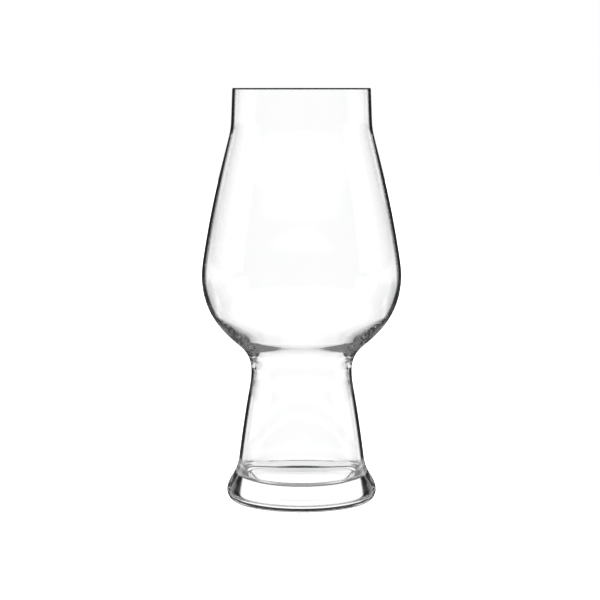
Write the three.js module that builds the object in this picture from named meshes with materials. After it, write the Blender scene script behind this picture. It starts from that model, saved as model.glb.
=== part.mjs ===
// IPA beer glass in clear soda-lime glass: a bowl with an upright collar and a leaning shoulder, whose dished
// bottom opens through a thick throat into a hollow conical stem, on a solid bulging foot. The three are joined
// hot, on flat ring seams at the neck and above the foot. Millimetres, +Z up, with the table at Z = 0.
import * as THREE from "three";

// Main sizes
const HEIGHT = 180.2; // from the table to the top of the lip
const NECK_HEIGHT = 57; // from the table to the narrowest ring
const FOOT_HEIGHT = 19; // from the table to the seam above the foot
const RIM_RADIUS = 29.95;
const BELLY_RADIUS = 43.5;
const NECK_RADIUS = 22.05;
const FOOT_RADIUS = 32.8;

// Bowl: heights are shares of the way up from the neck to the lip.
// Leans are radius gained for each millimetre downwards.
const FILLET_SHARE = 0.0666; // hollow curve under the bowl
const FILLET_RADIUS = 24.35;
const FILLET_LEAN = -0.7;
const UNDERSIDE_SHARE = 0.1039; // steepest ring under the bowl
const UNDERSIDE_RADIUS = 29;
const UNDERSIDE_LEAN = -1.17;
const TURN_SHARE = 0.2094; // round bottom of the bowl
const TURN_RADIUS = 39.8;
const TURN_LEAN = -0.5;
const TURN_WALL = 1.3;
const BELLY_SHARE = 0.3385; // widest ring
const LOWER_SHOULDER_SHARE = 0.4286;
const LOWER_SHOULDER_RADIUS = 42.28;
const LOWER_SHOULDER_LEAN = 0.162;
const UPPER_SHOULDER_SHARE = 0.6575;
const UPPER_SHOULDER_RADIUS = 36.76;
const UPPER_SHOULDER_LEAN = 0.236;
const BEND_SHARE = 0.8312; // soft bend below the collar
const BEND_RADIUS = 31.42;
const BEND_LEAN = 0.25;
const COLLAR_SHARE = 0.8815; // foot of the upright collar
const COLLAR_RADIUS = 30.5;
const COLLAR_LEAN = 0.045;
const BOWL_WALL = 1;

// Inside of the thick throat between bowl and stem, in the same shares and leans
const NECK_WALL = 1.72;
const THROAT_SHARE = 0.0601; // end of the upright throat
const THROAT_RADIUS = 20.45;
const THROAT_LEAN = -0.12;
const MOUTH_SHARE = 0.0925; // rounding from the throat into the dish
const MOUTH_RADIUS = 23.1;
const MOUTH_LEAN = -1.1;
const DISH_SHARE = 0.1315; // dished bottom of the bowl
const DISH_RADIUS = 29.7;
const DISH_LEAN = -1.15;

// Stem: a cone that curves in to the neck
const STEM_FOOT_RADIUS = 27.45;
const STEM_FOOT_LEAN = 0.13;
const STEM_FOOT_WALL = 1.2;
const STEM_TOP_SHARE = 0.679; // end of the cone, as a share of the way up from the foot to the neck
const STEM_TOP_RADIUS = 23.66;
const STEM_TOP_LEAN = 0.17;
const STEM_TOP_WALL = 1.25;

// Foot: its solid base, and the well inside
const BULGE_HEIGHT = 4.5; // widest ring above the table
const FLARE_SHARE = 0.531; // middle of the flare, as a share of the way up from the bulge to the stem
const FLARE_RADIUS = 29.55;
const FLARE_LEAN = 0.58;
const RESTING_RADIUS = 29; // outer edge of the flat ring that the glass stands on
const PUSH_UP_RADIUS = 22; // inner edge of that ring
const PUSH_UP_DEPTH = 0.15; // faint hollow in the underside, so that only the ring touches the table
const FLOOR_HEIGHT = 8.8; // floor of the well above the table, at its edge
const FLOOR_DISH = 0.1; // how far the floor sinks to its middle
const FLOOR_FILLET_WIDTH = 4.5; // rounding between the floor and the wall
const FLOOR_FILLET_RISE = 3.5;
const WELL_RADIUS = 26.5; // wall of the well, just above that rounding

// How finely round forms are divided
const SIDES = 64;
const CHORD_ERROR = 0.06; // most that a facet may leave its curve
const TURN_SAMPLES = 16; // tangents compared to find how far a curve turns
const SAME_POINT = 1e-6; // points nearer than this are one

// Look of the clear glass
const GLASS_COLOUR = 0xf1f6f6;
const GLASS_ROUGHNESS = 0.03;
const GLASS_OPACITY = 0.35;

// A ring that an outline passes through
function ring(radius, height, lean) {
  return { radius, height, lean };
}

// The ring inside another at the same height, behind a wall measured square to the surface
function inside(outer, wall) {
  return ring(outer.radius - wall * Math.hypot(1, outer.lean), outer.height, outer.lean);
}

const bowlUp = (share) => NECK_HEIGHT + share * (HEIGHT - NECK_HEIGHT);
const stemUp = (share) => FOOT_HEIGHT + share * (NECK_HEIGHT - FOOT_HEIGHT);
const footUp = (share) => BULGE_HEIGHT + share * (FOOT_HEIGHT - BULGE_HEIGHT);

// The rounded lip stands on the last ring of the collar
const lipRadius = BOWL_WALL / 2;
const rim = ring(RIM_RADIUS, HEIGHT - lipRadius, COLLAR_LEAN);
const rimInside = ring(RIM_RADIUS - BOWL_WALL, rim.height, COLLAR_LEAN);
const neck = ring(NECK_RADIUS, NECK_HEIGHT, 0);
const neckInside = inside(neck, NECK_WALL);
const stemTop = ring(STEM_TOP_RADIUS, stemUp(STEM_TOP_SHARE), STEM_TOP_LEAN);
const footTop = ring(STEM_FOOT_RADIUS, FOOT_HEIGHT, STEM_FOOT_LEAN);
const footTopInside = inside(footTop, STEM_FOOT_WALL);
const turn = ring(TURN_RADIUS, bowlUp(TURN_SHARE), TURN_LEAN);

// Rings of the thin wall, from the belly up to the bend and the collar
const thinWall = [
  ring(BELLY_RADIUS, bowlUp(BELLY_SHARE), 0),
  ring(LOWER_SHOULDER_RADIUS, bowlUp(LOWER_SHOULDER_SHARE), LOWER_SHOULDER_LEAN),
  ring(UPPER_SHOULDER_RADIUS, bowlUp(UPPER_SHOULDER_SHARE), UPPER_SHOULDER_LEAN),
  ring(BEND_RADIUS, bowlUp(BEND_SHARE), BEND_LEAN),
  ring(COLLAR_RADIUS, bowlUp(COLLAR_SHARE), COLLAR_LEAN),
];

const bowlOutside = [
  neck,
  ring(FILLET_RADIUS, bowlUp(FILLET_SHARE), FILLET_LEAN),
  ring(UNDERSIDE_RADIUS, bowlUp(UNDERSIDE_SHARE), UNDERSIDE_LEAN),
  turn,
  ...thinWall,
  rim,
];
const bowlInside = [
  neckInside,
  ring(THROAT_RADIUS, bowlUp(THROAT_SHARE), THROAT_LEAN),
  ring(MOUTH_RADIUS, bowlUp(MOUTH_SHARE), MOUTH_LEAN),
  ring(DISH_RADIUS, bowlUp(DISH_SHARE), DISH_LEAN),
  inside(turn, TURN_WALL),
  ...thinWall.map((outer) => inside(outer, BOWL_WALL)),
  rimInside,
];
const stemOutside = [footTop, stemTop, neck];
const stemInside = [footTopInside, inside(stemTop, STEM_TOP_WALL), neckInside];
const footOutside = [
  ring(FOOT_RADIUS, BULGE_HEIGHT, 0),
  ring(FLARE_RADIUS, footUp(FLARE_SHARE), FLARE_LEAN),
  footTop,
];
const wellInside = [ring(WELL_RADIUS, FLOOR_HEIGHT + FLOOR_FILLET_RISE, 0), footTopInside];

// Smooth stretch from one ring up to the next, keeping both leans
function stretch(lower, upper) {
  const third = (upper.height - lower.height) / 3;
  return new THREE.CubicBezierCurve(
    new THREE.Vector2(lower.radius, lower.height),
    new THREE.Vector2(lower.radius - lower.lean * third, lower.height + third),
    new THREE.Vector2(upper.radius + upper.lean * third, upper.height - third),
    new THREE.Vector2(upper.radius, upper.height),
  );
}

// Points along a curve, as few as keep the facets within the chord error
function divide(curve) {
  const tangents = [];
  for (let i = 0; i <= TURN_SAMPLES; i += 1) {
    tangents.push(curve.getTangent(i / TURN_SAMPLES));
  }
  let turning = 0;
  for (let i = 1; i < tangents.length; i += 1) {
    const cosine = THREE.MathUtils.clamp(tangents[i].dot(tangents[i - 1]), -1, 1);
    turning += Math.acos(cosine);
  }
  const facets = Math.ceil(Math.sqrt((curve.getLength() * turning) / (8 * CHORD_ERROR)));
  return curve.getPoints(Math.max(1, facets));
}

// Outline upwards through a list of rings
function upward(rings) {
  const points = [];
  for (let i = 1; i < rings.length; i += 1) {
    points.push(...divide(stretch(rings[i - 1], rings[i])));
  }
  return points;
}

// Outline that drops each point that repeats the one before it
function joined(...runs) {
  const points = [];
  for (const point of runs.flat()) {
    const last = points[points.length - 1];
    if (!last || last.distanceTo(point) > SAME_POINT) {
      points.push(point);
    }
  }
  return points;
}

// Solid of revolution about +Z
function turned(name, outline) {
  const geometry = new THREE.LatheGeometry(outline, SIDES);
  geometry.rotateX(Math.PI / 2);
  const material = new THREE.MeshStandardMaterial({
    color: GLASS_COLOUR,
    roughness: GLASS_ROUGHNESS,
    metalness: 0,
    transparent: true,
    opacity: GLASS_OPACITY,
  });
  const mesh = new THREE.Mesh(geometry, material);
  mesh.name = name;
  return mesh;
}

// A wall between an outer and an inner surface, closed by a flat seam at its lower end
function wallOutline(outside, top, within) {
  const outer = upward(outside);
  return joined(outer, top, upward(within).reverse(), [outer[0].clone()]);
}

// Bowl: the thin wall thickens down to the throat, and the rim ends in a rounded lip
function bowl() {
  const lip = new THREE.EllipseCurve(rim.radius - lipRadius, rim.height, lipRadius, lipRadius, 0, Math.PI);
  return turned("bowl", wallOutline(bowlOutside, divide(lip), bowlInside));
}

// Stem: a hollow cone, open into the bowl above
function stem() {
  return turned("stem", wallOutline(stemOutside, [], stemInside));
}

// Foot: solid under a well with a dished floor, bulging and rounded under to a flat ring round a push-up
function foot() {
  const pushUp = new THREE.QuadraticBezierCurve(
    new THREE.Vector2(0, PUSH_UP_DEPTH),
    new THREE.Vector2(PUSH_UP_RADIUS / 2, PUSH_UP_DEPTH),
    new THREE.Vector2(PUSH_UP_RADIUS, 0),
  );
  const under = new THREE.EllipseCurve(
    RESTING_RADIUS,
    BULGE_HEIGHT,
    FOOT_RADIUS - RESTING_RADIUS,
    BULGE_HEIGHT,
    -Math.PI / 2,
    0,
  );
  const floorRadius = WELL_RADIUS - FLOOR_FILLET_WIDTH;
  const fillet = new THREE.EllipseCurve(
    floorRadius,
    FLOOR_HEIGHT + FLOOR_FILLET_RISE,
    FLOOR_FILLET_WIDTH,
    FLOOR_FILLET_RISE,
    0,
    -Math.PI / 2,
    true,
  );
  const floor = new THREE.QuadraticBezierCurve(
    new THREE.Vector2(floorRadius, FLOOR_HEIGHT),
    new THREE.Vector2(floorRadius / 2, FLOOR_HEIGHT - FLOOR_DISH),
    new THREE.Vector2(0, FLOOR_HEIGHT - FLOOR_DISH),
  );
  const outline = joined(
    divide(pushUp),
    divide(under),
    upward(footOutside),
    upward(wellInside).reverse(),
    divide(fillet),
    divide(floor),
  );
  return turned("foot", outline);
}

const glass = new THREE.Group();
glass.add(bowl(), stem(), foot());

export default glass;
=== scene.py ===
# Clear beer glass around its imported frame: bowl, stem and foot, turned from smooth outlines and joined hot.
# It stands on a white table in a bright-field studio: white panels in a dark room draw it in dark lines.
import functools
import math

import bpy
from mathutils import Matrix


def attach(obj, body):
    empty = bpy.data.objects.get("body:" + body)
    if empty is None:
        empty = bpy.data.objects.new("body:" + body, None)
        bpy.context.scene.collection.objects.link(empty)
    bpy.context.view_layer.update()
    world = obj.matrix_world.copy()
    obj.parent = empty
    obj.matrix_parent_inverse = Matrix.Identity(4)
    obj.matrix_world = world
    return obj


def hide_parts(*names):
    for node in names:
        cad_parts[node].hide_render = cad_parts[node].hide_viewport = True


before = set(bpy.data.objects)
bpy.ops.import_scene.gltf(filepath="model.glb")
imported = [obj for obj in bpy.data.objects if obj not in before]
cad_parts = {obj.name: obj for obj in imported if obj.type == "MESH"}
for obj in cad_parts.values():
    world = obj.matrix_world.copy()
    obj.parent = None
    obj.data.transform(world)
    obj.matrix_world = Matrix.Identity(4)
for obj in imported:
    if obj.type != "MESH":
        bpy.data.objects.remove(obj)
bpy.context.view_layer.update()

MM = 0.001

# Rings that the outline of the glass passes through, in millimetres: radius, height above the table,
# and lean, which is radius gained for each millimetre downwards
NECK = (22.05, 57.0, 0.0)
FOOT_TOP = (27.45, 19.0, 0.13)
RIM = (29.95, 179.7, 0.045)
BOWL_BOTTOM = [NECK, (24.35, 65.2, -0.7), (29.0, 69.8, -1.17), (39.8, 82.8, -0.5)]
BOWL_SIDE = [
    (43.5, 98.7, 0.0),
    (42.28, 109.8, 0.162),
    (36.76, 138.0, 0.236),
    (31.42, 159.4, 0.25),
    (30.5, 165.6, 0.045),
    RIM,
]
STEM_OUTSIDE = [FOOT_TOP, (23.66, 44.8, 0.17), NECK]
FOOT_OUTSIDE = [(32.8, 4.5, 0.0), (29.55, 12.2, 0.58), FOOT_TOP]
BOWL_WALL = 1.0
NECK_INSIDE = (20.33, 57.0, 0.0)
FOOT_TOP_INSIDE = (26.24, 19.0, 0.13)
STEM_INSIDE = [FOOT_TOP_INSIDE, (22.39, 44.8, 0.17), NECK_INSIDE]
THROAT_INSIDE = [
    NECK_INSIDE,
    (20.45, 64.4, -0.12),
    (23.1, 68.4, -1.1),
    (29.7, 73.2, -1.15),
    (38.35, 82.8, -0.5),
]
WELL_TOP = (26.5, 12.3, 0.0)
RESTING_RADIUS = 29.0
PUSH_UP_RADIUS = 22.0
PUSH_UP_DEPTH = 0.15
FLOOR_FILLET = 4.5
FLOOR_FILLET_RISE = 3.5
FLOOR_DISH = 0.1

# Fineness of the turned surfaces
SIDES = 256
STRETCH_STEP = 0.75
LEAST_STEPS = 4
ARC_STEPS = 16
SAME_POINT = 1e-6


# Outlines are runs of points with the way each run travels there: radius, height, outward step, upward step.
# The glass lies to the left of the way of travel.
def stretch(lower, upper):
    """Smooth cubic from one ring up to the next, with the lean of each at its end."""
    rise = upper[1] - lower[1]
    steps = max(LEAST_STEPS, math.ceil(rise / STRETCH_STEP))
    points = []
    for i in range(steps + 1):
        t = i / steps
        ends = lower[0] * (1 + 2 * t) * (1 - t) ** 2 + upper[0] * t * t * (3 - 2 * t)
        leans = lower[2] * t * (1 - t) ** 2 - upper[2] * t * t * (1 - t)
        gain = 6 * t * (1 - t) * (upper[0] - lower[0])
        bend = lower[2] * (1 - t) * (1 - 3 * t) - upper[2] * t * (2 - 3 * t)
        points.append((ends - rise * leans, lower[1] + rise * t, gain - rise * bend, rise))
    return points


def upward(rings):
    return [point for lower, upper in zip(rings, rings[1:]) for point in stretch(lower, upper)]


def backwards(points):
    return [(r, h, -across, -up) for r, h, across, up in reversed(points)]


def arc(centre, wide, tall, start, end):
    way = math.copysign(1, end - start)
    points = []
    for i in range(ARC_STEPS + 1):
        a = start + (end - start) * i / ARC_STEPS
        across, up = wide * math.cos(a), tall * math.sin(a)
        travel = (-way * wide * math.sin(a), way * tall * math.cos(a))
        points.append((centre[0] + across, centre[1] + up, *travel))
    return points


def dish(radius, edge_height, crown):
    """Shallow dish from its middle, which stands a crown above the edge, out to the edge."""
    points = []
    for i in range(ARC_STEPS + 1):
        t = i / ARC_STEPS
        points.append((radius * t, edge_height + crown * (1 - t * t), radius, -2 * crown * t))
    return points


def straight(first, last):
    across, up = last[0] - first[0], last[1] - first[1]
    return [(first[0], first[1], across, up), (last[0], last[1], across, up)]


def inside_of(ring):
    radius, height, lean = ring
    return (radius - BOWL_WALL * math.hypot(1, lean), height, lean)


def bowl_runs():
    inside = THROAT_INSIDE + [inside_of(ring) for ring in BOWL_SIDE]
    half = (RIM[0] - inside[-1][0]) / 2
    lip = arc((RIM[0] - half, RIM[1]), half, half, 0, math.pi)
    return [upward(BOWL_BOTTOM + BOWL_SIDE), lip, backwards(upward(inside))], [straight(NECK_INSIDE, NECK)]


def stem_runs():
    seams = [straight(NECK, NECK_INSIDE), straight(FOOT_TOP_INSIDE, FOOT_TOP)]
    return [upward(STEM_OUTSIDE), backwards(upward(STEM_INSIDE))], seams


def foot_runs():
    bulge, bulge_height = FOOT_OUTSIDE[0][:2]
    push_up = dish(PUSH_UP_RADIUS, 0, PUSH_UP_DEPTH)
    resting = straight((PUSH_UP_RADIUS, 0), (RESTING_RADIUS, 0))
    under = arc((RESTING_RADIUS, bulge_height), bulge - RESTING_RADIUS, bulge_height, -math.pi / 2, 0)
    well = backwards(upward([WELL_TOP, FOOT_TOP_INSIDE]))
    fillet = arc((WELL_TOP[0] - FLOOR_FILLET, WELL_TOP[1]), FLOOR_FILLET, FLOOR_FILLET_RISE, 0, -math.pi / 2)
    floor_edge, floor_height = fillet[-1][:2]
    floor = backwards(dish(floor_edge, floor_height, -FLOOR_DISH))
    runs = [push_up, resting, under, upward(FOOT_OUTSIDE), well, fillet, floor]
    return runs, [straight(FOOT_TOP, FOOT_TOP_INSIDE)]


def turned(name, runs, seams, looks):
    """Closed piece turned about the Z axis, with true slopes; its hot-joined seams take the second look."""
    angles = [2 * math.pi * j / SIDES for j in range(SIDES)]
    circle = [(math.cos(angle), math.sin(angle)) for angle in angles]
    corners, rings, faces, slopes, kinds = [], {}, [], [], []

    def ring_at(radius, height):
        place = (round(radius / SAME_POINT), round(height / SAME_POINT))
        if place not in rings:
            start = len(corners)
            if radius < SAME_POINT:
                corners.append((0, 0, height * MM))
                rings[place] = [start] * SIDES
            else:
                corners.extend((radius * MM * c, radius * MM * s, height * MM) for c, s in circle)
                rings[place] = list(range(start, start + SIDES))
        return rings[place]

    def slope(point):
        across, up = point[2:]
        length = math.hypot(across, up)
        return up / length, -across / length

    for kind, group in enumerate((runs, seams)):
        for run in group:
            for first, last in zip(run, run[1:]):
                if math.dist(first[:2], last[:2]) < SAME_POINT:
                    continue
                a, b = ring_at(*first[:2]), ring_at(*last[:2])
                (out_a, up_a), (out_b, up_b) = slope(first), slope(last)
                for j in range(SIDES):
                    n = (j + 1) % SIDES
                    (c, s), (cn, sn) = circle[j], circle[n]
                    face = {
                        a[j]: (out_a * c, out_a * s, up_a),
                        a[n]: (out_a * cn, out_a * sn, up_a),
                        b[n]: (out_b * cn, out_b * sn, up_b),
                        b[j]: (out_b * c, out_b * s, up_b),
                    }
                    faces.append(list(face))
                    slopes.extend(face.values())
                    kinds.append(kind)
    mesh = bpy.data.meshes.new(name)
    mesh.from_pydata(corners, [], faces)
    mesh.polygons.foreach_set("use_smooth", [True] * len(faces))
    for look in looks:
        mesh.materials.append(look)
    mesh.polygons.foreach_set("material_index", kinds)
    mesh.normals_split_custom_set(slopes)
    piece = bpy.data.objects.new(name, mesh)
    bpy.context.scene.collection.objects.link(piece)
    return piece


PURE_WHITE = (1, 1, 1, 1)

# Sockets of the mix node by kind: factor, first, last, and its output
MIX_SOCKETS = {"FLOAT": (0, 2, 3, 0), "RGBA": (0, 6, 7, 2)}


def fill(tree, socket, value):
    """Wire another node's output to a socket, or set a constant on it."""
    if isinstance(value, bpy.types.NodeSocket):
        tree.links.new(value, socket)
    else:
        socket.default_value = value


def eased(tree, value, edge, first=0, last=1):
    """Smooth step from first to last where the value crosses the edge, which is its start and its end."""
    made = tree.nodes.new("ShaderNodeMapRange")
    made.interpolation_type = "SMOOTHSTEP"
    names = ("Value", "From Min", "From Max", "To Min", "To Max")
    for name, amount in zip(names, (value, *edge, first, last)):
        fill(tree, made.inputs[name], amount)
    return made.outputs[0]


def blend(tree, factor, first, last, kind="FLOAT"):
    """First where the factor is 0, last where it is 1."""
    made = tree.nodes.new("ShaderNodeMix")
    made.data_type = kind
    *inputs, output = MIX_SOCKETS[kind]
    for index, value in zip(inputs, (factor, first, last)):
        fill(tree, made.inputs[index], value)
    return made.outputs[output]


# Glass, with sizes in metres
GLASS_IOR = 1.51
CLOUD_SIZE = 0.02
CLOUD_EDGE = (0.35, 0.65)
CLEAR_TINT = PURE_WHITE
CLOUD_TINT = (0.993, 0.997, 0.996, 1)
POLISH = 0.02
# Painted shade: a near-black colour over the top of the lip, standing in for the dark line the lighting draws
# along the rim
LIP_PAINTED_SHADE = (0.015, 0.015, 0.015, 1)
LIP_PAINTED_SHADE_EDGE = (0.1794, 0.1797)
WAVE_SIZE = 0.018
WAVE_HEIGHT = 0.00001
RING_PITCH = 0.0026
RING_WOBBLE = 1
RING_HEIGHT = 0.000006
RINGS_EDGE = (0.013, 0.018)

# Pitch of the wave node's bands at a scale of 1
WAVE_NODE_PITCH = math.pi / 10


def glass_look():
    """Blown soda-lime: faint clouds, slow waves, chill rings on the foot, and painted shade on the lip: a
    dark line coloured onto the clear glass that stands in for the dark rim line the lighting draws.
    """
    look = bpy.data.materials.new("clear_glass")
    look.use_nodes = True
    tree = look.node_tree
    shader = tree.nodes["Principled BSDF"]
    shader.inputs["IOR"].default_value = GLASS_IOR
    shader.inputs["Transmission Weight"].default_value = 1
    place = tree.nodes.new("ShaderNodeTexCoord").outputs["Object"]
    split = tree.nodes.new("ShaderNodeSeparateXYZ")
    fill(tree, split.inputs[0], place)
    height = split.outputs["Z"]

    def noise(size):
        made = tree.nodes.new("ShaderNodeTexNoise")
        fill(tree, made.inputs["Scale"], 1 / size)
        fill(tree, made.inputs["Vector"], place)
        return made.outputs[0]

    clouds = noise(CLOUD_SIZE)
    clouded = blend(tree, eased(tree, clouds, CLOUD_EDGE), CLEAR_TINT, CLOUD_TINT, "RGBA")
    # Base colour: random faint clouds, and painted shade that darkens the top of the lip
    clouds_and_painted_lip_shade = blend(tree, eased(tree, height, LIP_PAINTED_SHADE_EDGE), clouded, LIP_PAINTED_SHADE, "RGBA")
    fill(tree, shader.inputs["Base Color"], clouds_and_painted_lip_shade)
    fill(tree, shader.inputs["Roughness"], eased(tree, clouds, CLOUD_EDGE, 0, POLISH))

    rings = tree.nodes.new("ShaderNodeTexWave")
    rings.bands_direction = "Z"
    fill(tree, rings.inputs["Scale"], WAVE_NODE_PITCH / RING_PITCH)
    fill(tree, rings.inputs["Distortion"], RING_WOBBLE)
    fill(tree, rings.inputs["Vector"], place)
    waves = tree.nodes.new("ShaderNodeBump")
    fill(tree, waves.inputs["Distance"], WAVE_HEIGHT)
    fill(tree, waves.inputs["Height"], noise(WAVE_SIZE))
    chill = tree.nodes.new("ShaderNodeBump")
    fill(tree, chill.inputs["Distance"], RING_HEIGHT)
    fill(tree, chill.inputs["Strength"], eased(tree, height, RINGS_EDGE, 1, 0))
    fill(tree, chill.inputs["Height"], rings.outputs["Fac"])
    fill(tree, chill.inputs["Normal"], waves.outputs[0])
    fill(tree, shader.inputs["Normal"], chill.outputs[0])
    return look


def seam_look():
    """Glass joined hot shows no seam inside, so the seam faces are see-through."""
    look = bpy.data.materials.new("hot_joined_seam")
    look.use_nodes = True
    shader = look.node_tree.nodes["Principled BSDF"]
    shader.inputs["Alpha"].default_value = 0
    return look


looks = [glass_look(), seam_look()]
for node, (runs, seams) in {"bowl": bowl_runs(), "stem": stem_runs(), "foot": foot_runs()}.items():
    piece = turned("clear_" + node, runs, seams, looks)
    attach(piece, "root")
    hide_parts(node)

# White table, seen by the camera and not through the glass
TABLE_HALF = 3.0
TABLE_TINT = (0.9, 0.9, 0.9, 1)
TABLE_ROUGHNESS = 0.9
TABLE_GLOW = 0.95
table_mesh = bpy.data.meshes.new("table")
table_corners = [(x * TABLE_HALF, y * TABLE_HALF, 0) for x, y in ((-1, -1), (1, -1), (1, 1), (-1, 1))]
table_mesh.from_pydata(table_corners, [], [(0, 1, 2, 3)])
table = bpy.data.objects.new("table", table_mesh)
bpy.context.scene.collection.objects.link(table)
table_look = bpy.data.materials.new("white_table")
table_look.use_nodes = True
shader = table_look.node_tree.nodes["Principled BSDF"]
shader.inputs["Base Color"].default_value = TABLE_TINT
shader.inputs["Roughness"].default_value = TABLE_ROUGHNESS
shader.inputs["Emission Color"].default_value = PURE_WHITE
shader.inputs["Emission Strength"].default_value = TABLE_GLOW
table_mesh.materials.append(table_look)
table.visible_transmission = False
table.visible_glossy = False

# Brightness in the studio
WHITE = 1.15
DARK = 0.02
GREY = 0.06
FLOOR_AHEAD = 0.18
FLOOR_ASIDE = 0.95
FLOOR_UNDER = 0.4
DEEP_GREY = 0.23
BACKDROP = 1

# Four white panels stand round the glass. These edges are in degrees from the middle of the nearest one.
PANELS = 4
PANEL_EDGE = (16.5, 19.5)
LOW_PANEL_EDGE = (25.5, 28.5)
CORNER_EDGE = (26, 34)

# Areas of the room with soft edges, in degrees. Start and end are bearings to either side of straight ahead,
# bottom and top are elevations. Each pair is where an edge starts to fade and where its fade ends.
BACK = {"start": (85, 95)}
LOW_PANELS_AHEAD = {"top": (-14, -12)}
LOW_PANELS_BACK = {"top": (-4, -2)}
TABLE_BELOW = {"top": (-40, -34)}
OVERHEAD = {"bottom": (8, 12)}
DARK_FLOOR = {"end": (30, 34), "top": (-42, -38)}
SOLID_WHITE = {"end": (40, 44), "bottom": (2, 5)}
SOLID_DARK = {"end": (40, 44), "bottom": (-11, -8), "top": (2, 5)}
CEILING_AHEAD = {"end": (40, 44), "bottom": (3, 6)}
CEILING_STRIP = {"start": (70, 74), "end": (106, 110), "bottom": (3, 6)}
HIGH_CEILING = {"bottom": (24, 28)}
SIDE_PANELS = {"start": (35, 39), "end": (80, 100), "top": (0, 3)}
ABOVE_FLOOR = {"bottom": (-27, -23)}
BEYOND_GLASS = {"bottom": (-63, -57)}
ROOM_SIDE_EDGE = (56, 64)
FLOOR_SIDE_EDGE = (57, 63)
DARK_PATCH = {"end": (28, 32), "bottom": (-10, -7), "top": (2, 5)}
DARK_SIDES = {"start": (41, 45), "bottom": (0, 3), "top": (12, 16)}
PALE_SIDES = {"start": (54, 58), "bottom": (-22, -18), "top": (-3, 0)}
DEEP_CEILING = {"bottom": (26, 30)}
OUTSIDE_PANELS = {"start": (35, 39), "end": (48, 56), "top": (10, 14)}
SHORT_PANELS = {"start": (40, 44)}
LONG_ROWS = {"bottom": (-27, -23)}
SHORT_ROWS = {"bottom": (-8, -4)}

world = bpy.data.worlds.new("studio")
bpy.context.scene.world = world
world.use_nodes = True
studio = world.node_tree
path = studio.nodes.new("ShaderNodeLightPath")
DEGREE = 180 / math.pi

# What an area does across each of its edges
FADES = {"start": (0, 1), "end": (1, 0), "bottom": (0, 1), "top": (1, 0)}

# Counts along a light path are whole, so a test lies between two of them
BETWEEN_COUNTS = 0.5


def number(operation, *values):
    made = studio.nodes.new("ShaderNodeMath")
    made.operation = operation
    for socket, value in zip(made.inputs, values):
        fill(studio, socket, value)
    return made.outputs[0]


def all_of(*masks):
    return functools.reduce(lambda first, last: number("MULTIPLY", first, last), masks)


def any_of(*masks):
    return functools.reduce(lambda first, last: number("MAXIMUM", first, last), masks)


def more_than(count, kind):
    """1 for light that has met more surfaces of a kind than the count."""
    return number("GREATER_THAN", path.outputs[kind], count + BETWEEN_COUNTS)


split = studio.nodes.new("ShaderNodeSeparateXYZ")
fill(studio, split.inputs[0], studio.nodes.new("ShaderNodeTexCoord").outputs["Generated"])
bearing = number("ARCTAN2", split.outputs["X"], split.outputs["Y"])
aside = number("MULTIPLY", number("ABSOLUTE", bearing), DEGREE)
elevation = number("MULTIPLY", number("ARCSINE", split.outputs["Z"]), DEGREE)
panel_turn = number("COSINE", number("MULTIPLY", bearing, PANELS))
off_panel = number("MULTIPLY", number("ARCCOSINE", panel_turn), DEGREE / PANELS)


def area(edges):
    """1 inside an area of the room and 0 outside it."""
    masks = []
    for name, edge in edges.items():
        value = aside if name in ("start", "end") else elevation
        masks.append(eased(studio, value, edge, *FADES[name]))
    return all_of(*masks)


# Light that has passed two surfaces went through solid glass or one wall, and deep light crossed the hollow
SOLID_SURFACES = 2
deep = more_than(SOLID_SURFACES, "Transmission Depth")
solid = number("SUBTRACT", 1, deep)

# Seen straight through the glass: four white panels, low ones between them, the table and a white ceiling.
# Through solid glass, which is the edge of the foot, it is white above a dark strip ahead.
panel = eased(studio, off_panel, PANEL_EDGE, 1, 0)
low_rows = blend(studio, area(BACK), area(LOW_PANELS_AHEAD), area(LOW_PANELS_BACK))
low_panel = all_of(eased(studio, off_panel, LOW_PANEL_EDGE), low_rows)
lit = any_of(panel, low_panel, area(TABLE_BELOW), area(OVERHEAD))
room = blend(studio, lit, eased(studio, off_panel, CORNER_EDGE, DARK, GREY), WHITE)
through_wall = blend(studio, area(DARK_FLOOR), room, DARK)
through_solid = blend(studio, all_of(solid, area(SOLID_WHITE)), through_wall, WHITE)
seen_through = blend(studio, all_of(solid, area(SOLID_DARK)), through_solid, DARK)

# Seen after one turn inside the glass: a dark room with a bright ceiling and white panels at the sides,
# over a floor that is dark ahead and pale at the sides and under the glass
lit_turned = any_of(area(CEILING_AHEAD), area(CEILING_STRIP), area(HIGH_CEILING), area(SIDE_PANELS))
turned_room = blend(studio, lit_turned, eased(studio, aside, ROOM_SIDE_EDGE, DARK, GREY), WHITE)
floor_far = eased(studio, aside, FLOOR_SIDE_EDGE, FLOOR_AHEAD, FLOOR_ASIDE)
floor_near = blend(studio, deep, FLOOR_UNDER, FLOOR_ASIDE)
turned_floor = blend(studio, area(BEYOND_GLASS), floor_near, floor_far)
seen_once = blend(studio, area(ABOVE_FLOOR), turned_floor, turned_room)

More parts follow.
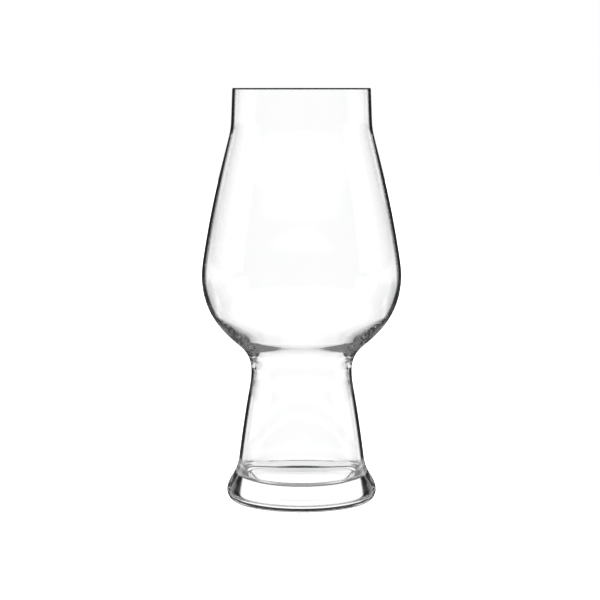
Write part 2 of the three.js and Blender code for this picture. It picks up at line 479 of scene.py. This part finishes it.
# Seen after more turns: grey, with a dark patch ahead, dark sides, pale low sides and a white ceiling
grey = blend(studio, any_of(area(DARK_PATCH), area(DARK_SIDES)), DEEP_GREY, DARK)
grey_and_pale = blend(studio, area(PALE_SIDES), grey, FLOOR_ASIDE)
seen_often = blend(studio, all_of(area(DEEP_CEILING), solid), grey_and_pale, WHITE)
seen_inside = blend(studio, more_than(1, "Glossy Depth"), seen_once, seen_often)

# Reflected off the outside: a dark room with a white panel on each side, shorter further aside
outside_rows = blend(studio, area(SHORT_PANELS), area(LONG_ROWS), area(SHORT_ROWS))
seen_outside = blend(studio, all_of(area(OUTSIDE_PANELS), outside_rows), DARK, WHITE)
seen_turned = blend(studio, more_than(0, "Transmission Depth"), seen_outside, seen_inside)

around = blend(studio, more_than(0, "Glossy Depth"), seen_through, seen_turned)
background = studio.nodes["Background"]
background.inputs["Color"].default_value = PURE_WHITE
fill(studio, background.inputs["Strength"], blend(studio, path.outputs["Is Camera Ray"], around, BACKDROP))

# Camera at the height of the rim, turned down so that the glass stands in the middle of the square frame.
# Places are in metres, sensor and lens in millimetres.
CAMERA_DISTANCE = 0.860
CAMERA_ASIDE = -0.00067
CAMERA_HEIGHT = 0.1802
CAMERA_DROP = math.radians(6.115)
CAMERA_SENSOR = 36
CAMERA_LENS = 118.77
CAMERA_CLIP = 0.01
GLASS_BOUNCES = 96
SEAM_BOUNCES = 32
camera_data = bpy.data.cameras.new("camera")
camera_data.sensor_width = CAMERA_SENSOR
camera_data.lens = CAMERA_LENS
camera_data.clip_start = CAMERA_CLIP
camera = bpy.data.objects.new("camera", camera_data)
camera.location = (CAMERA_ASIDE, -CAMERA_DISTANCE, CAMERA_HEIGHT)
camera.rotation_euler = (math.pi / 2 - CAMERA_DROP, 0, 0)
bpy.context.scene.collection.objects.link(camera)
scene = bpy.context.scene
scene.camera = camera
scene.view_settings.view_transform = "Standard"
scene.cycles.max_bounces = GLASS_BOUNCES
scene.cycles.transmission_bounces = GLASS_BOUNCES
scene.cycles.glossy_bounces = GLASS_BOUNCES
scene.cycles.transparent_max_bounces = SEAM_BOUNCES
